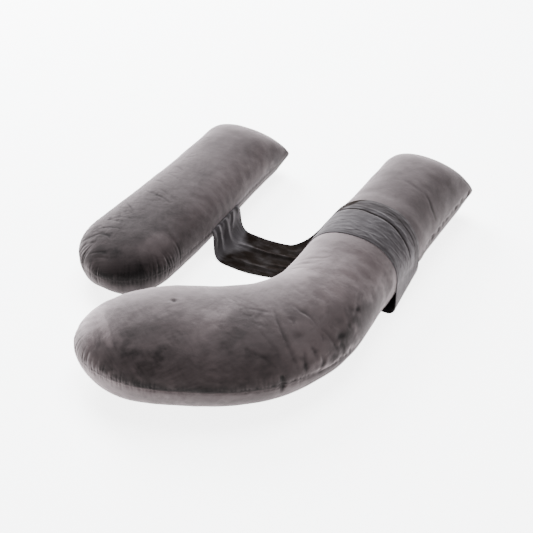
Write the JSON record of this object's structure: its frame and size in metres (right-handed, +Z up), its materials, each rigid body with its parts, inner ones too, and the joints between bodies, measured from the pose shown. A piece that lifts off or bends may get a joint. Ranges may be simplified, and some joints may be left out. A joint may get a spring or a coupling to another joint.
{
  "type": "body pillow",
  "caption": "J-shaped velvet body pillow and a straight side pillow, joined by a wide velvet belt with a sleeve round the main pillow's arm.",
  "frame": {"origin": "middle of the footprint, on the surface that the pillows lie on", "axes": "+Z up, +Y along the main pillow's arm towards its sewn-off end, +X from the side pillow to the main pillow's arm"},
  "size_m": [0.8738, 1.2338, 0.2089],
  "materials": {
    "velvet_cover": "short-pile velvet, warm grey, light where seen at a slant and dark where seen straight on",
    "velvet_belt": "short-pile velvet, the same grey, mostly on its dark lay"
  },
  "bodies": {
    "root": {"main_pillow": "velvet_cover", "side_pillow": "velvet_cover", "belt": "velvet_belt"}
  },
  "joints": []
}
